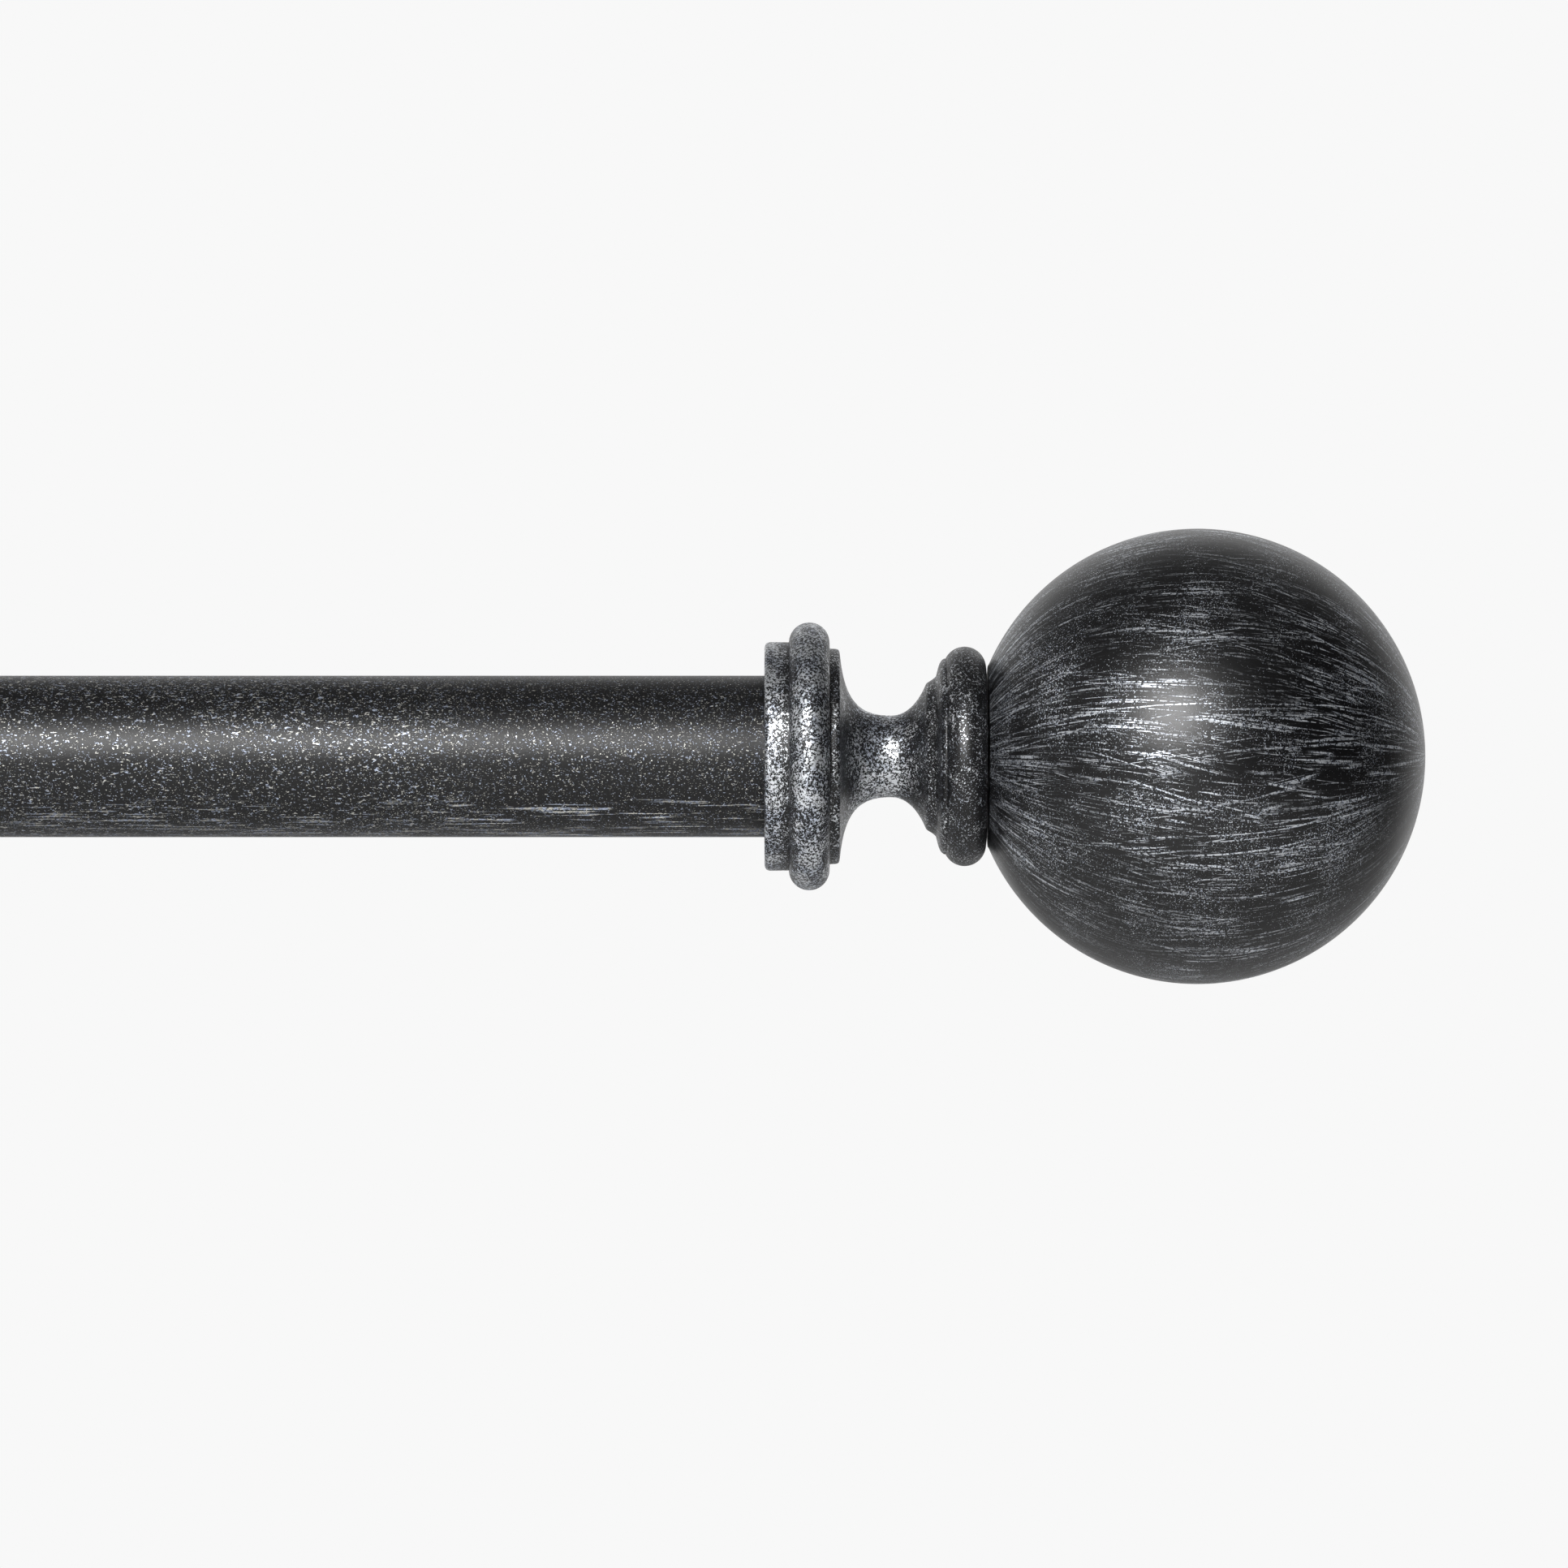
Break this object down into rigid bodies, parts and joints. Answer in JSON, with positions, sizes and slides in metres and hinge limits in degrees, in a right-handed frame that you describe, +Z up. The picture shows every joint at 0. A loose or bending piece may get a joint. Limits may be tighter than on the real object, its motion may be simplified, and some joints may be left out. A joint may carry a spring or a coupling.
{
  "type": "curtain rod with brackets",
  "caption": "Telescoping curtain rod with turned ball finials, carried in two wall brackets with sliding arms, open cradles and thumb screws.",
  "frame": {"origin": "centre of the right wall plate's back face, which lies on the wall", "axes": "+X along the rod towards the right finial, +Y into the wall, +Z up"},
  "size_m": [0.9696, 0.1618, 0.0716],
  "materials": {
    "rod_finish": "satin charcoal paint on steel tube, dry-brushed with fine silver",
    "finial_finish": "satin charcoal paint, hand dry-brushed with silver along the turned form",
    "bracket_finish": "satin charcoal paint, dry-brushed with silver on the raised edges",
    "zinc_hardware": "bright zinc-plated steel",
    "black_plastic": "moulded black nylon",
    "grey_plastic": "moulded grey nylon"
  },
  "bodies": {
    "right_bracket": {"right_wall_plate": "zinc_hardware", "right_arm_sleeve": "bracket_finish", "right_wall_screw_upper": "zinc_hardware", "right_wall_screw_lower": "zinc_hardware", "right_wall_anchor_upper": "grey_plastic", "right_wall_anchor_lower": "grey_plastic"},
    "right_cover": {"right_wall_cover": "bracket_finish"},
    "right_arm": {"right_arm_bar": "bracket_finish", "right_rod_cradle": "bracket_finish", "right_cradle_fixing_screw": "zinc_hardware"},
    "right_lock_stud": {"right_lock_screw_stud": "zinc_hardware"},
    "right_lock_knob": {"right_lock_screw_knob": "bracket_finish"},
    "right_clamp_stud": {"right_clamp_screw_stud": "zinc_hardware"},
    "right_clamp_knob": {"right_clamp_screw_knob": "bracket_finish"},
    "left_bracket": {"left_wall_plate": "zinc_hardware", "left_arm_sleeve": "bracket_finish", "left_wall_screw_upper": "zinc_hardware", "left_wall_screw_lower": "zinc_hardware", "left_wall_anchor_upper": "grey_plastic", "left_wall_anchor_lower": "grey_plastic"},
    "left_cover": {"left_wall_cover": "bracket_finish"},
    "left_arm": {"left_arm_bar": "bracket_finish", "left_rod_cradle": "bracket_finish", "left_cradle_fixing_screw": "zinc_hardware", "left_cradle_liner": "black_plastic"},
    "left_lock_stud": {"left_lock_screw_stud": "zinc_hardware"},
    "left_lock_knob": {"left_lock_screw_knob": "bracket_finish"},
    "left_clamp_stud": {"left_clamp_screw_stud": "zinc_hardware"},
    "left_clamp_knob": {"left_clamp_screw_knob": "bracket_finish"},
    "outer_tube": {"outer_rod": "rod_finish", "outer_rod_mouth_ring": "black_plastic", "right_end_plug": "black_plastic"},
    "inner_tube": {"inner_rod": "rod_finish", "inner_rod_glide_cap": "black_plastic", "left_end_plug": "black_plastic", "left_end_adapter": "black_plastic"},
    "right_stud": {"right_finial_stud": "zinc_hardware"},
    "right_finial": {"right_finial_neck": "finial_finish", "right_finial_ball": "finial_finish", "right_finial_ball_nut": "zinc_hardware"},
    "left_stud": {"left_finial_stud": "zinc_hardware"},
    "left_finial": {"left_finial_neck": "finial_finish", "left_finial_ball": "finial_finish", "left_finial_ball_nut": "zinc_hardware"}
  },
  "joints": [
    {"name": "right_cover_slide", "type": "slide", "parent": "right_bracket", "child": "right_cover", "axis": [0, -1, 0], "range_m": [0, 0.03]},
    {"name": "right_arm_slide", "type": "slide", "parent": "right_bracket", "child": "right_arm", "axis": [0, -1, 0], "range_m": [0, 0.025]},
    {"name": "right_lock_stud_slide", "type": "slide", "parent": "right_bracket", "child": "right_lock_stud", "axis": [0, 0, -1], "range_m": [0, 0.0021]},
    {"name": "right_lock_knob_turn", "type": "hinge", "parent": "right_lock_stud", "child": "right_lock_knob", "pos_m": [0, -0.055, -0.02], "axis": [0, 0, -1], "range_deg": [0, 1080]},
    {"name": "right_clamp_stud_slide", "type": "slide", "parent": "right_arm", "child": "right_clamp_stud", "axis": [0, 0, -1], "range_m": [0, 0.0021]},
    {"name": "right_clamp_knob_turn", "type": "hinge", "parent": "right_clamp_stud", "child": "right_clamp_knob", "pos_m": [0, -0.089, -0.027], "axis": [0, 0, -1], "range_deg": [0, 1080]},
    {"name": "left_bracket_slide", "type": "slide", "parent": "right_bracket", "child": "left_bracket", "axis": [-1, 0, 0], "range_m": [0, 0.457]},
    {"name": "left_cover_slide", "type": "slide", "parent": "left_bracket", "child": "left_cover", "axis": [0, -1, 0], "range_m": [0, 0.03]},
    {"name": "left_arm_slide", "type": "slide", "parent": "left_bracket", "child": "left_arm", "axis": [0, -1, 0], "range_m": [0, 0.025]},
    {"name": "left_lock_stud_slide", "type": "slide", "parent": "left_bracket", "child": "left_lock_stud", "axis": [0, 0, -1], "range_m": [0, 0.0021]},
    {"name": "left_lock_knob_turn", "type": "hinge", "parent": "left_lock_stud", "child": "left_lock_knob", "pos_m": [-0.496, -0.055, -0.02], "axis": [0, 0, -1], "range_deg": [0, 1080]},
    {"name": "left_clamp_stud_slide", "type": "slide", "parent": "left_arm", "child": "left_clamp_stud", "axis": [0, 0, -1], "range_m": [0, 0.0021]},
    {"name": "left_clamp_knob_turn", "type": "hinge", "parent": "left_clamp_stud", "child": "left_clamp_knob", "pos_m": [-0.496, -0.089, -0.025], "axis": [0, 0, -1], "range_deg": [0, 1080]},
    {"name": "rod_lift", "type": "slide", "parent": "right_arm", "child": "outer_tube", "axis": [0, 0, 1], "range_m": [0, 0.05]},
    {"name": "telescope", "type": "slide", "parent": "outer_tube", "child": "inner_tube", "axis": [-1, 0, 0], "range_m": [0, 0.457]},
    {"name": "right_stud_slide", "type": "slide", "parent": "outer_tube", "child": "right_stud", "axis": [1, 0, 0], "range_m": [0, 0.0175]},
    {"name": "right_finial_turn", "type": "hinge", "parent": "right_stud", "child": "right_finial", "pos_m": [0.17, -0.089, 0], "axis": [1, 0, 0], "range_deg": [0, 6300]},
    {"name": "left_stud_slide", "type": "slide", "parent": "inner_tube", "child": "left_stud", "axis": [-1, 0, 0], "range_m": [0, 0.0175]},
    {"name": "left_finial_turn", "type": "hinge", "parent": "left_stud", "child": "left_finial", "pos_m": [-0.592, -0.089, 0], "axis": [-1, 0, 0], "range_deg": [0, 6300]}
  ],
  "couplings": [
    {"joint": "left_bracket_slide", "follows": "telescope", "ratio": 1},
    {"joint": "left_arm_slide", "follows": "right_arm_slide", "ratio": 1},
    {"joint": "right_lock_knob_turn", "follows": "right_lock_stud_slide", "rad_per_m": 8976},
    {"joint": "right_clamp_knob_turn", "follows": "right_clamp_stud_slide", "rad_per_m": 8976},
    {"joint": "left_lock_knob_turn", "follows": "left_lock_stud_slide", "rad_per_m": 8976},
    {"joint": "left_clamp_knob_turn", "follows": "left_clamp_stud_slide", "rad_per_m": 8976},
    {"joint": "right_stud_slide", "follows": "right_finial_turn", "m_per_rad": 0.00015915},
    {"joint": "left_stud_slide", "follows": "left_finial_turn", "m_per_rad": 0.00015915}
  ]
}
